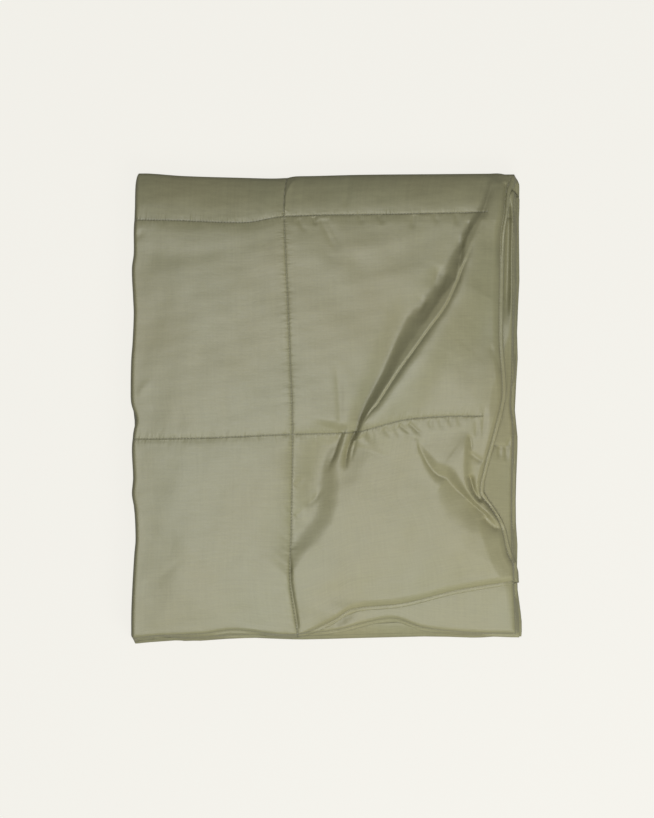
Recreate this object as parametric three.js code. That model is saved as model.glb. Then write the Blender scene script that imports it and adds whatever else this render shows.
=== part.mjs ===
// Quilted throw blanket, folded in half twice and lying flat.
//
// Sizes are millimetres. X runs across the folded block, Y from its open front edge to its
// folded back edge, and Z up. The origin is under the middle of the block, on the surface
// that it lies on.
//
// The throw is one filled cloth: two woven faces with a thin layer of filling between them,
// stitched through along straight seams, with a flat topstitched rim. It is folded in half
// across its width, with that fold on the left, and then in half along its length, with that
// fold at the back. So four layers lie on each other, all of one continuous cloth:
//   flap     the top layer, whose loose corner is dragged back over the others
//   second   under the flap, joined to it by the upper left fold
//   third    under the second, joined to it by the inner back fold
//   bottom   joined to the third by the lower left fold and to the flap by the outer back fold

import * as THREE from "three";
import { mergeVertices } from "three/addons/utils/BufferGeometryUtils.js";

// The cloth's thickness: full boxes, seams and rim
const LOFT = 11;
const SEAM_SHARE = 0.27;
const SEAM_REACH = 58;
const RIM_THICKNESS = 2.4;
const RIM_ROOM = 6.5;
const RIM_WIDTH = 6;
const RIM_RISE = 44;

// The layers in the folded stack
const LAYER_GAP = 1.6;
const MIDDLE_GAP = 3;
const FOLD_PINCH = 0.34;
const LEFT_FOLD_BULGE = 1.15;
const BACK_FOLD_BULGE = 2.2;
const FOLD_SPREAD = (LOFT + LAYER_GAP) / 2;
const FOLD_MIDDLE = MIDDLE_GAP / 2 + LOFT + LAYER_GAP / 2;

// Reach of a layer from the left fold to its side edge, and from the back fold to its front edge
const REACH_ACROSS = 618;
const REACH_ALONG = 702;

// Seams, from the same folds, and where the cross seams end short of the side edge
const LONG_SEAM = 250;
const CROSS_SEAMS = [14, 372];
const CROSS_SEAM_STOP = 33;
const CROSS_SEAM_FADE = 14;

// Where the left and back folds start to turn, as seen from above
const LEFT_FOLD = [
  { y: 372, x: -303 },
  { y: 341, x: -301 },
  { y: 218, x: -307 },
  { y: 3, x: -307 },
  { y: -46, x: -304 },
  { y: -297, x: -305 },
  { y: -385, x: -305 },
];
const BACK_FOLD = [
  { x: -314, y: 329 },
  { x: -275, y: 326 },
  { x: -78, y: 323 },
  { x: -19, y: 326 },
  { x: 60, y: 329 },
  { x: 178, y: 331 },
  { x: 300, y: 331 },
];

// The flap's long seam and side edge, from the back to the front
const FLAP_LONG_SEAM = [
  { y: 372, x: -69 },
  { y: 313, x: -69 },
  { y: 185, x: -63 },
  { y: 82, x: -59 },
  { y: -41, x: -55 },
  { y: -192, x: -57 },
  { y: -284, x: -59 },
  { y: -366, x: -47 },
];
const FLAP_SIDE = [
  { y: 372, x: 296 },
  { y: 359, x: 299 },
  { y: 318, x: 296 },
  { y: 287, x: 291 },
  { y: 218, x: 289 },
  { y: 108, x: 288 },
  { y: 36, x: 293 },
  { y: 8, x: 291 },
  { y: -51, x: 276 },
  { y: -100, x: 263 },
  { y: -140, x: 257 },
  { y: -160, x: 272 },
  { y: -192, x: 291 },
  { y: -238, x: 303 },
  { y: -260, x: 314 },
  { y: -287, x: 317 },
];

// The flap's cross seams and front edge, from the left to the right
const FLAP_BACK_SEAM = [
  { x: -309, y: 307 },
  { x: -240, y: 306 },
  { x: -132, y: 303 },
  { x: -68, y: 313 },
  { x: 124, y: 317 },
  { x: 300, y: 321 },
];
const FLAP_FRONT_SEAM = [
  { x: -314, y: -51 },
  { x: -196, y: -49 },
  { x: -58, y: -43 },
  { x: 50, y: -39 },
  { x: 124, y: -20 },
  { x: 190, y: -14 },
  { x: 285, y: -13 },
];
const FLAP_FRONT = [
  { x: -317, y: -383 },
  { x: -291, y: -378 },
  { x: -199, y: -372 },
  { x: -150, y: -364 },
  { x: -76, y: -374 },
  { x: -40, y: -374 },
  { x: 14, y: -351 },
  { x: 42, y: -334 },
  { x: 124, y: -325 },
  { x: 214, y: -303 },
  { x: 311, y: -287 },
];

// The three layers below, which lie nearly square
const LOWER_LONG_SEAM = [
  { y: 372, x: -62 },
  { y: -372, x: -58 },
];
const LOWER_BACK_SEAM = [
  { x: -309, y: 309 },
  { x: 309, y: 313 },
];
const LOWER_FRONT_SEAM = [
  { x: -309, y: -49 },
  { x: 150, y: -54 },
  { x: 309, y: -64 },
];
const SECOND_SIDE = [
  { y: 382, x: 303 },
  { y: 300, x: 308 },
  { y: 185, x: 308 },
  { y: 28, x: 300 },
  { y: -26, x: 308 },
  { y: -67, x: 304 },
  { y: -223, x: 304 },
  { y: -297, x: 311 },
  { y: -376, x: 316 },
];
const SECOND_FRONT = [
  { x: -310, y: -379 },
  { x: 20, y: -369 },
  { x: 61, y: -358 },
  { x: 111, y: -350 },
  { x: 157, y: -365 },
  { x: 226, y: -372 },
  { x: 309, y: -376 },
];
const LOWEST_SIDE = [
  { y: 382, x: 310 },
  { y: 359, x: 314 },
  { y: 185, x: 314 },
  { y: 54, x: 311 },
  { y: 15, x: 306 },
  { y: -60, x: 312 },
  { y: -175, x: 307 },
  { y: -235, x: 311 },
  { y: -376, x: 314 },
];
const LOWEST_FRONT = [
  { x: -317, y: -384 },
  { x: -294, y: -383 },
  { x: -275, y: -378 },
  { x: -78, y: -377 },
  { x: 178, y: -374 },
  { x: 316, y: -374 },
];

// Drag folds of the flap: a line on it bent once, how high it stands over the flap or lies
// below it at both ends, and how far it reaches to the left and to the right of the line
const FLAP_FOLDS = [
  // The long valley that runs up and back from the front seam, and the ridge beside it
  { x: 53, y: -37, bendX: 105, bendY: 118, endX: 240, endY: 310, from: -7, to: -5, left: 46, right: 11 },
  { x: 74, y: -36, bendX: 132, bendY: 112, endX: 262, endY: 310, from: 7, to: 9, left: 12, right: 40 },
  // The valley on the other side of the front seam, which runs on to the long seam
  { x: 26, y: -48, bendX: 12, bendY: -172, endX: -56, endY: -228, from: -5, to: -3, left: 26, right: 16 },
  // The dragged back corner: the raised edge of the smooth front panel
  { x: 160, y: -84, bendX: 196, bendY: -176, endX: 270, endY: -214, from: 3, to: 6, left: 26, right: 60 },
  // The upright ridge beside the side edge, and the deep valley at its foot
  { x: 228, y: -38, bendX: 224, bendY: -108, endX: 248, endY: -160, from: 9, to: 8, left: 26, right: 11 },
  { x: 240, y: -66, bendX: 238, bendY: -124, endX: 270, endY: -172, from: -3, to: -7, left: 10, right: 12 },
  // The small puff that is pushed up against the side edge
  { x: 272, y: -166, bendX: 282, bendY: -174, endX: 288, endY: -188, from: 7, to: 5, left: 14, right: 14 },
];

// How loosely the flap lies on the second layer, and over which reach from its edges
const FLAP_EASE = 4;
const FLAP_EASE_REACH = 90;

// The underside is pressed flat between four corners, and bows off the surface beside them
const PRESSED_X = -25.4;
const PRESSED_Y = -17.5;
const PRESSED_ACROSS = 281.8;
const PRESSED_ALONG = 249.5;
const PRESSED_BOW = 0.06;
const PRESSED_STEP = 0.12;
const PRESSED_LIFT = 1;

// Where the mesh has its rows and columns: each row of a table gives the place that a run of
// equal steps reaches, from the fold to the open edge
const OUTER_COLUMNS = [
  { to: 20, steps: 1 },
  { to: 234, steps: 4 },
  { to: 250, steps: 1 },
  { to: 266, steps: 1 },
  { to: 596, steps: 19 },
  { to: 612, steps: 1 },
  { to: 618, steps: 1 },
];
const INNER_COLUMNS = [
  { to: 20, steps: 1 },
  { to: 234, steps: 2 },
  { to: 250, steps: 1 },
  { to: 266, steps: 1 },
  { to: 576, steps: 3 },
  { to: 612, steps: 2 },
  { to: 618, steps: 1 },
];
const TOP_ROWS = [
  { to: 14, steps: 1 },
  { to: 28, steps: 1 },
  { to: 358, steps: 15 },
  { to: 372, steps: 1 },
  { to: 386, steps: 1 },
  { to: 676, steps: 17 },
  { to: 696, steps: 1 },
  { to: 702, steps: 1 },
];
const BOTTOM_ROWS = [
  { to: 14, steps: 1 },
  { to: 28, steps: 1 },
  { to: 358, steps: 5 },
  { to: 372, steps: 1 },
  { to: 386, steps: 1 },
  { to: 654, steps: 4 },
  { to: 696, steps: 2 },
  { to: 702, steps: 1 },
];
const LEFT_FOLD_STEPS = 5;
const BACK_FOLD_STEPS = 6;
const FOLD_LINE_STEPS = 24;

const CLOTH = new THREE.MeshStandardMaterial({
  name: "olive_sateen",
  color: 0x9a967d,
  roughness: 0.62,
  metalness: 0,
});

// A share from 0 to 1 that starts and ends gently.
function gentle(share) {
  const held = Math.min(Math.max(share, 0), 1);
  return held * held * (3 - 2 * held);
}

function mix(from, to, share) {
  return from + (to - from) * share;
}

// The value of a table's column at a place, on a smooth curve through its rows.
function lookUp(rows, place, column, at) {
  const way = Math.sign(rows[rows.length - 1][place] - rows[0][place]);
  const last = rows.length - 1;
  let row = 0;
  while (row < last - 1 && (at - rows[row + 1][place]) * way > 0) {
    row += 1;
  }
  const before = rows[Math.max(row - 1, 0)];
  const start = rows[row];
  const end = rows[row + 1];
  const after = rows[Math.min(row + 2, last)];
  const span = end[place] - start[place];
  const share = Math.min(Math.max((at - start[place]) / span, 0), 1);
  const startSlope = ((end[column] - before[column]) / (end[place] - before[place])) * span;
  const endSlope = ((after[column] - start[column]) / (after[place] - start[place])) * span;
  const cubed = share * share * share;
  const squared = share * share;
  return (
    (2 * cubed - 3 * squared + 1) * start[column] +
    (cubed - 2 * squared + share) * startSlope +
    (3 * squared - 2 * cubed) * end[column] +
    (cubed - squared) * endSlope
  );
}

const LAYERS = {
  flap: {
    side: FLAP_SIDE,
    front: FLAP_FRONT,
    longSeam: FLAP_LONG_SEAM,
    backSeam: FLAP_BACK_SEAM,
    frontSeam: FLAP_FRONT_SEAM,
  },
  second: {
    side: SECOND_SIDE,
    front: SECOND_FRONT,
    longSeam: LOWER_LONG_SEAM,
    backSeam: LOWER_BACK_SEAM,
    frontSeam: LOWER_FRONT_SEAM,
  },
  third: {
    side: LOWEST_SIDE,
    front: LOWEST_FRONT,
    longSeam: LOWER_LONG_SEAM,
    backSeam: LOWER_BACK_SEAM,
    frontSeam: LOWER_FRONT_SEAM,
  },
};
LAYERS.bottom = LAYERS.third;

// Where a piece of a layer lies, seen from above: its seams and edges follow their tables, and
// the cloth between them is spread evenly.
function planPlace(layer, across, along) {
  const [backSeam, frontSeam] = CROSS_SEAMS;
  let x = mix(-REACH_ACROSS / 2, REACH_ACROSS / 2, across / REACH_ACROSS);
  let y = 0;
  for (let pass = 0; pass < 4; pass += 1) {
    const fold = lookUp(BACK_FOLD, "x", "y", x);
    const back = lookUp(layer.backSeam, "x", "y", x);
    const middle = lookUp(layer.frontSeam, "x", "y", x);
    const front = lookUp(layer.front, "x", "y", x);
    if (along < backSeam) {
      y = mix(fold, back, along / backSeam);
    } else if (along < frontSeam) {
      y = mix(back, middle, (along - backSeam) / (frontSeam - backSeam));
    } else {
      y = mix(middle, front, (along - frontSeam) / (REACH_ALONG - frontSeam));
    }
    const left = lookUp(LEFT_FOLD, "y", "x", y);
    const seam = lookUp(layer.longSeam, "y", "x", y);
    const side = lookUp(layer.side, "y", "x", y);
    if (across < LONG_SEAM) {
      x = mix(left, seam, across / LONG_SEAM);
    } else {
      x = mix(seam, side, (across - LONG_SEAM) / (REACH_ACROSS - LONG_SEAM));
    }
  }
  return new THREE.Vector2(x, y);
}

// How far the filling has risen from its flat rim, at a distance from the nearest open edge:
// 0 on the rim, 1 where the box is full.
function fullness(inside) {
  const rise = Math.min(Math.max((inside - RIM_WIDTH) / RIM_RISE, 0), 1);
  return 1 - (1 - rise) * (1 - rise);
}

// Height that a layer takes up in the stack. It ends softly outside the layer's own edge.
function layerRoom(inside) {
  const room = mix(RIM_ROOM, LOFT, fullness(inside));
  return room * gentle(1 + inside / RIM_ROOM);
}

function insideOf(layer, x, y) {
  const fromSide = lookUp(layer.side, "y", "x", y) - x;
  const fromFront = y - lookUp(layer.front, "x", "y", x);
  return Math.min(fromSide, fromFront);
}

// How deep a seam draws the two faces together: 1 on the seam, 0 where the box is full.
function seamDraw(distance) {
  const away = Math.min(Math.abs(distance) / SEAM_REACH, 1);
  return (1 - away) ** 3;
}

// The share of its full thickness that the cloth keeps beside its seams.
function seamShare(across, along) {
  const crossShare = gentle((REACH_ACROSS - across - CROSS_SEAM_STOP) / CROSS_SEAM_FADE);
  let draw = seamDraw(across - LONG_SEAM);
  for (const seam of CROSS_SEAMS) {
    draw = Math.max(draw, seamDraw(along - seam) * crossShare);
  }
  return 1 - (1 - SEAM_SHARE) * draw;
}

// Points of each drag fold's line, worked out once.
const FOLD_LINES = FLAP_FOLDS.map((fold) => {
  const curve = new THREE.QuadraticBezierCurve(
    new THREE.Vector2(fold.x, fold.y),
    new THREE.Vector2(fold.bendX, fold.bendY),
    new THREE.Vector2(fold.endX, fold.endY),
  );
  return { fold, points: curve.getPoints(FOLD_LINE_STEPS) };
});

// Height that one drag fold adds at a place on the flap.
function foldHeight({ fold, points }, x, y) {
  let nearest = Infinity;
  let best = 0;
  points.forEach((point, index) => {
    const distance = Math.hypot(x - point.x, y - point.y);
    if (distance < nearest) {
      nearest = distance;
      best = index;
    }
  });
  const start = points[Math.max(best - 1, 0)];
  const end = points[Math.min(best + 1, points.length - 1)];
  const aside = (end.x - start.x) * (y - points[best].y) - (end.y - start.y) * (x - points[best].x);
  const width = aside > 0 ? fold.left : fold.right;
  const share = best / FOLD_LINE_STEPS;
  return mix(fold.from, fold.to, share) * Math.exp(-((nearest / width) ** 2));
}

// How far the flap stands off the second layer because it lies loosely and is dragged back.
function flapLift(x, y) {
  const fromLeft = x - lookUp(LEFT_FOLD, "y", "x", y);
  const fromBack = lookUp(BACK_FOLD, "x", "y", x) - y;
  const inside = Math.min(insideOf(LAYERS.flap, x, y) + RIM_WIDTH, fromLeft, fromBack);
  const held = gentle(inside / FLAP_EASE_REACH);
  let lift = FLAP_EASE * held;
  for (const line of FOLD_LINES) {
    lift += foldHeight(line, x, y) * gentle((inside + RIM_WIDTH) / (2 * RIM_WIDTH));
  }
  return Math.max(lift, 0);
}

// The stack over one place: the middle height of each layer, and the height of the gap
// between the lower and the upper pair.
function stackAt(x, y) {
  const room = {};
  for (const [name, layer] of Object.entries(LAYERS)) {
    room[name] = layerRoom(insideOf(layer, x, y));
  }
  const thirdUnderside = room.bottom + LAYER_GAP;
  const secondUnderside = thirdUnderside + room.third + MIDDLE_GAP;
  const flapUnderside = secondUnderside + room.second + LAYER_GAP + flapLift(x, y);
  return {
    gap: secondUnderside - MIDDLE_GAP / 2,
    bottom: room.bottom / 2,
    third: thirdUnderside + room.third / 2,
    second: secondUnderside + room.second / 2,
    flap: flapUnderside + room.flap / 2,
  };
}

// How far the underside stands off the surface at a place: nothing where it is pressed flat.
function undersideLift(x, y) {
  const across = Math.abs(x - PRESSED_X) / PRESSED_ACROSS;
  const along = Math.abs(y - PRESSED_Y) / PRESSED_ALONG;
  const acrossBow = 1 + PRESSED_BOW * (1 - Math.min(along, 1) ** 2);
  const alongBow = 1 + PRESSED_BOW * (1 - Math.min(across, 1) ** 2);
  const outside = Math.max(across * acrossBow, along * alongBow) - 1;
  return PRESSED_LIFT * gentle(outside / PRESSED_STEP);
}

// A point on one face of the cloth. Across and along say how far that piece of the cloth lies
// from the left and the back fold, and its turns how far it has gone round each fold: from 0
// on the outer half to 1 on the inner half, and from 0 on the lower pair to 1 on the upper.
function facePoint(across, along, face) {
  const weights = {
    bottom: (1 - across.turn) * (1 - along.turn),
    third: across.turn * (1 - along.turn),
    second: across.turn * along.turn,
    flap: (1 - across.turn) * along.turn,
  };
  const plan = new THREE.Vector2();
  for (const [name, weight] of Object.entries(weights)) {
    if (weight > 0) {
      plan.addScaledVector(planPlace(LAYERS[name], across.reach, along.reach), weight);
    }
  }
  let full = 0;
  for (const [name, weight] of Object.entries(weights)) {
    full += mix(RIM_THICKNESS, LOFT, fullness(insideOf(LAYERS[name], plan.x, plan.y))) * weight;
  }
  const leftAngle = Math.PI * across.turn;
  const backAngle = Math.PI * along.turn;
  const pinch = 1 - FOLD_PINCH * Math.sin(leftAngle);
  const seamed = full * seamShare(across.reach, along.reach) * pinch;
  const skin = (face * Math.max(seamed, RIM_THICKNESS)) / 2;
  // Distances of the pair's outer and inner layer from the gap between the two pairs
  const stack = stackAt(plan.x, plan.y);
  const outer = mix(stack.gap - stack.bottom, stack.flap - stack.gap, along.turn);
  const inner = mix(stack.gap - stack.third, stack.second - stack.gap, along.turn);
  const radius = (outer - inner) / 2 + skin;
  const fromGap = (outer + inner) / 2 + radius * Math.cos(leftAngle);
  // The back fold keeps its depth where the stack gets lower beside the open side
  const deep = FOLD_MIDDLE + (FOLD_SPREAD + skin) * Math.cos(leftAngle);
  const height = stack.gap - fromGap * Math.cos(backAngle);
  return new THREE.Vector3(
    plan.x - radius * Math.sin(leftAngle) * LEFT_FOLD_BULGE,
    plan.y + deep * Math.sin(backAngle) * BACK_FOLD_BULGE,
    Math.max(height, undersideLift(plan.x, plan.y) * weights.bottom),
  );
}

// Places from the fold to the open edge, as a table of runs says.
function runPlaces(runs) {
  const places = [0];
  for (const run of runs) {
    const start = places[places.length - 1];
    for (let step = 1; step <= run.steps; step += 1) {
      places.push(mix(start, run.to, step / run.steps));
    }
  }
  return places;
}

// Stations from one open edge, round the fold, to the other open edge.
function stations(firstRuns, secondRuns, foldSteps) {
  const first = runPlaces(firstRuns).reverse();
  const second = runPlaces(secondRuns);
  const list = first.map((reach) => ({ reach, turn: 0 }));
  for (let step = 1; step < foldSteps; step += 1) {
    list.push({ reach: 0, turn: step / foldSteps });
  }
  return list.concat(second.map((reach) => ({ reach, turn: 1 })));
}

// The closed skin of the folded throw: its outer face, its inner face and the rim between.
function throwGeometry() {
  const columns = stations(OUTER_COLUMNS, INNER_COLUMNS, LEFT_FOLD_STEPS);
  const rows = stations(BOTTOM_ROWS, TOP_ROWS, BACK_FOLD_STEPS);
  const points = [];
  for (const face of [1, -1]) {
    for (const along of rows) {
      for (const across of columns) {
        points.push(...facePoint(across, along, face).toArray());
      }
    }
  }
  const wide = columns.length;
  const high = rows.length;
  const corner = (face, row, column) => (face * high + row) * wide + column;
  const indices = [];
  const quad = (a, b, c, d) => indices.push(a, b, c, a, c, d);
  for (let row = 0; row < high - 1; row += 1) {
    for (let column = 0; column < wide - 1; column += 1) {
      const outer = [[0, 0], [0, 1], [1, 1], [1, 0]].map(([r, c]) => corner(0, row + r, column + c));
      const inner = [[0, 0], [1, 0], [1, 1], [0, 1]].map(([r, c]) => corner(1, row + r, column + c));
      quad(...outer);
      quad(...inner);
    }
  }
  for (let row = 0; row < high - 1; row += 1) {
    const last = wide - 1;
    quad(corner(0, row, 0), corner(0, row + 1, 0), corner(1, row + 1, 0), corner(1, row, 0));
    quad(corner(0, row, last), corner(1, row, last), corner(1, row + 1, last), corner(0, row + 1, last));
  }
  for (let column = 0; column < wide - 1; column += 1) {
    const last = high - 1;
    const next = column + 1;
    quad(corner(0, 0, column), corner(1, 0, column), corner(1, 0, next), corner(0, 0, next));
    quad(corner(0, last, column), corner(0, last, next), corner(1, last, next), corner(1, last, column));
  }
  const geometry = new THREE.BufferGeometry();
  geometry.setAttribute("position", new THREE.Float32BufferAttribute(points, 3));
  geometry.setIndex(indices);
  return mergeVertices(geometry);
}

// Puts the middle of the block's box over the origin, with its underside on the surface.
function settle(mesh) {
  const box = new THREE.Box3().setFromObject(mesh);
  mesh.position.set(-(box.min.x + box.max.x) / 2, -(box.min.y + box.max.y) / 2, -box.min.z);
  return mesh;
}

const quiltedThrow = new THREE.Mesh(throwGeometry(), CLOTH);
quiltedThrow.name = "quilted_throw";

const part = new THREE.Group();
part.name = "throw_blanket";
part.add(settle(quiltedThrow));

export default part;
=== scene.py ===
"""Quilted throw blanket, folded in half twice, on a plain pale floor."""

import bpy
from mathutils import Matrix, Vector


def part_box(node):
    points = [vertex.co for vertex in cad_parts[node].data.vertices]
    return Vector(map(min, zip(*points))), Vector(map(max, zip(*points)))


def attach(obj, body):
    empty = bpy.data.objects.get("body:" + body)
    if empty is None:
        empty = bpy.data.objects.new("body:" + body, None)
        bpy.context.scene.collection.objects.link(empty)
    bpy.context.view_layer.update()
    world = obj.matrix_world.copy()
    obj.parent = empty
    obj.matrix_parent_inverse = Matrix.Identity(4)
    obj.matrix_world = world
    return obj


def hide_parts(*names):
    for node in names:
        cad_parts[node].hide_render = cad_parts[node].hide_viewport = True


bl_info = {
    "name": "Quilted Throw",
    "version": (1, 0, 0),
    "blender": (4, 5, 0),
    "location": "3D View > Sidebar > Throw",
    "description": "Builds a folded quilted throw with its stitches, on a plain studio floor",
    "category": "Object",
}

import math

import bmesh
import bpy
import numpy as np
from mathutils import Matrix, Vector

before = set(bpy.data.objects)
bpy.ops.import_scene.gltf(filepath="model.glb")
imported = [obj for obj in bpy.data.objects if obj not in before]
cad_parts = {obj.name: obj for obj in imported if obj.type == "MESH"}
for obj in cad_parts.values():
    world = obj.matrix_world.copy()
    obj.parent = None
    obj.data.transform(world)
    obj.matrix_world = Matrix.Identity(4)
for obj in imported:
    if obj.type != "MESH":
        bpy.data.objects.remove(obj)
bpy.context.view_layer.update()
NODE_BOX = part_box("quilted_throw")

MM = 0.001

# In metres: a stitch, and a point of the photograph
STITCH = 0.005
PIXEL = 0.00164

# Points of the photograph from top to bottom
FRAME_HIGH = 818

# From here on in millimetres. The cloth's thickness: its share at the seams and how far these draw
# it in, the rim's thickness, room in the stack, width and rounding, and the least of all
SEAM_SHARE, SEAM_REACH = 0.84, 34
RIM_THICKNESS, RIM_ROOM, RIM_WIDTH, RIM_ROUND = 2.4, 5, 4.5, 1
THINNEST = 2.2

# The stack: space between its halves, how much thinner the cloth is in the left folds, how round
# the folds are and how much cloth they take, and the reach over which the flap eases
MIDDLE_GAP = 3
FOLD_PINCH = 0.34
LEFT_FOLD_BULGE, BACK_FOLD_BULGE = 0.6, 2.2
LEFT_FOLD_LENGTH, BACK_FOLD_LENGTH = 30, 60
FLAP_EASE_REACH = 90

# Reach of a layer from its folds to its open edges, and the seams between. The cross seams stop
# short of the side, in the outer and the inner layers, and fade there. The topstitching lies
# inside the rim
REACH_ACROSS, REACH_ALONG = 618, 702
LONG_SEAM = 250
CROSS_SEAMS = (14, 372)
CROSS_SEAM_STOP, INNER_SEAM_STOP, CROSS_SEAM_FADE = 33, 3, 14
TOPSTITCH = 5.5

# The groove right along a seam: depth in the flap and in the second layer, width and sharpness
GROOVE_DEPTH, SECOND_GROOVE_DEPTH = 0.6, 1.5
GROOVE_WIDTH, GROOVE_SHARPNESS = 2.6, 1.4

# Shares of the turn in the back fold: where the upper layers' outlines take over, and where their
# relief starts and is full. Then where the flap's relief ends in the left fold, and its run there
UPPER_START = 0.3
RELIEF_START, RELIEF_FULL = 0.45, 0.85
RELIEF_END, RELIEF_RUN = 0.6, 0.5

# Least space under the flap's valleys, how far the second layer's underside follows its folds, and
# that layer's share of the unevenness, taken from a place aside
LEAST_GAP = 0.6
SECOND_UNDERSIDE = 0.8
SECOND_UNEVENNESS, SECOND_ASIDE = 0.5, 40

# The roll falls to the back: how far in front of the back seam that starts, its length, the share
# of the height that is lost, and how late
ROLL_START, ROLL_LENGTH = 16, 84
ROLL_FALL, ROLL_CURVE = 0.39, 1.2

# How far the stack sinks at its open edges, along the side as (y, depth, reach inwards) and along
# the front as (x, depth, reach inwards), and how hollow that slope is
SIDE_SINK = (
    (372, 4, 8), (200, 4, 8), (120, 6, 12), (30, 8, 40), (-60, 10, 50), (-120, 13, 62), (-200, 13, 60),
    (-260, 8, 40), (-300, 4, 16), (-376, 3, 12),
)
FRONT_SINK = ((-317, 2, 8), (-60, 3, 8), (40, 2, 8), (120, 2, 8), (316, 3, 12))
SINK_CURVE = 1.1

# The gutter between the flap's rim and the edges below it, behind on the open side: its line as
# (y, x), depth and width, its ends behind and in front with their lengths, and the height over the
# second layer where it stops, so that it leaves the flap alone
GUTTER = ((384, 300), (300, 299), (220, 297), (140, 295))
GUTTER_DEPTH, GUTTER_WIDTH = 11, 7
GUTTER_BACK, GUTTER_BACK_LENGTH = 352, 24
GUTTER_FRONT, GUTTER_FRONT_LENGTH = 130, 60
GUTTER_CEILING, GUTTER_SOFTNESS = 1.5, 1.2

# Where the left fold starts to turn, as (y, x), and the back fold, as (x, y)
LEFT_FOLD = (
    (372, -309), (341, -307), (290, -309), (252, -309), (228, -312), (179, -310), (154, -309), (105, -311),
    (80, -313), (31, -314), (7, -313), (-18, -306), (-42, -310), (-67, -312), (-116, -310), (-141, -312),
    (-166, -308), (-215, -306), (-239, -308), (-289, -311), (-338, -313), (-385, -313),
)
BACK_FOLD = (
    (-314, 330), (-290, 330), (-235, 326), (-137, 323), (-78, 322), (-58, 325), (-19, 326), (60, 328),
    (178, 329), (300, 330),
)

# The flap: long seam and side as (y, x), cross seams and front as (x, y), and how far from its
# rim it is full, at the side as (y, reach) and in front as (x, reach)
FLAP = {
    "long": (
        (372, -69), (313, -69), (185, -63), (82, -59), (-41, -55), (-192, -57), (-284, -59), (-366, -47),
    ),
    "side": (
        (372, 296), (359, 299), (318, 296), (287, 291), (218, 289), (108, 288), (36, 293), (8, 291),
        (-51, 276), (-100, 263), (-140, 257), (-160, 272), (-192, 291), (-238, 303), (-260, 314),
        (-287, 317),
    ),
    "back": ((-309, 307), (-240, 306), (-132, 303), (-68, 313), (124, 317), (300, 321)),
    "middle": ((-314, -51), (-196, -49), (-58, -43), (50, -39), (124, -20), (190, -14), (285, -13)),
    "front": (
        (-317, -385), (-291, -379), (-235, -376), (-199, -374), (-150, -368), (-76, -376), (-40, -375),
        (14, -351), (42, -334), (124, -325), (214, -303), (311, -287),
    ),
    "side_rise": ((-290, 13), (-140, 10), (-60, 7), (0, 7), (60, 12), (372, 13)),
    "front_rise": ((-317, 4), (-50, 4), (10, 10), (60, 13), (311, 12)),
}
SECOND = {
    "long": ((372, -62), (-372, -58)),
    "side": (
        (382, 314), (345, 314), (300, 313), (250, 312), (185, 312), (120, 312), (28, 310), (0, 309),
        (-26, 312), (-67, 312), (-223, 311), (-297, 314), (-376, 317),
    ),
    "back": ((-309, 309), (309, 313)),
    "middle": ((-309, -49), (150, -54), (309, -64)),
    "front": (
        (-310, -381), (-60, -376), (20, -369), (61, -358), (111, -350), (157, -365), (226, -373), (309, -377),
    ),
    "side_rise": ((-385, 5), (382, 5)),
    "front_rise": ((-317, 4), (311, 5)),
}
LOWER = {
    **SECOND,
    "side": (
        (382, 314), (351, 318), (302, 317), (277, 318), (228, 317), (203, 318), (154, 315), (105, 314),
        (56, 316), (31, 311), (7, 309), (-18, 313), (-55, 315), (-116, 313), (-178, 312), (-227, 315),
        (-289, 314), (-338, 320), (-362, 322), (-385, 320),
    ),
    "front": (
        (-317, -388), (-294, -386), (-275, -380), (-235, -384), (-176, -381), (-137, -378), (-78, -380),
        (-38, -381), (40, -379), (119, -377), (178, -376), (247, -378), (283, -376), (316, -376),
    ),
    "side_rise": ((-385, 6), (382, 6)),
    "front_rise": ((-317, 5), (311, 5)),
}

# The long drag fold: the bottom of its valley, and rows of share of it, depth of the valley,
# width and height of its steep bank, and width and height of the whole bank
DRAG_LINE = (
    (45, -50), (50, -34), (54, -18), (64, 7), (78, 34), (93, 64), (107, 97), (121, 130), (139, 162),
    (168, 195), (188, 228), (208, 261), (225, 294), (245, 326), (258, 359), (262, 372),
)
DRAG_ROWS = (
    (0, 2, 3, 2.5, 5, 3.5), (0.035, 4.5, 5, 4.5, 8, 6), (0.07, 5.5, 7, 5.5, 11, 7.5),
    (0.127, 5.5, 12, 6, 18, 9), (0.19, 6, 15, 7, 24, 10.5), (0.26, 6, 18, 7, 30, 12),
    (0.335, 6, 20, 7, 36, 13.5), (0.412, 6, 28, 8.5, 42, 13.5), (0.49, 5.5, 31, 10, 42, 13.5),
    (0.58, 4.5, 24, 8.5, 36, 13), (0.65, 4.5, 29, 10, 38, 13.5), (0.73, 3.5, 15, 8, 26, 12),
    (0.81, 2.5, 11, 4.5, 21, 8), (0.89, 2, 11, 4, 16, 5.5), (0.97, 1.5, 9, 2.5, 13, 3.5),
    (1, 1, 8, 1.5, 11, 2.5),
)

# Its valley's width at the start, the gain in width along the fold, and how sharply the valley
# ends. Then the share of the fold from which the steep bank has a sharp crest, and the share over
# which that comes. Beyond the bank the cloth still rises, by a share of the bank's height over a
# run, and comes down over a reach
DRAG_VALLEY, DRAG_VALLEY_GAIN, DRAG_VALLEY_CURVE = 12, 34, 1.5
DRAG_SHARP_START, DRAG_SHARP_RUN = 0.44, 0.05
CREST_RISE, CREST_RUN, CREST_REACH = 0.2, 14, 55

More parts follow.
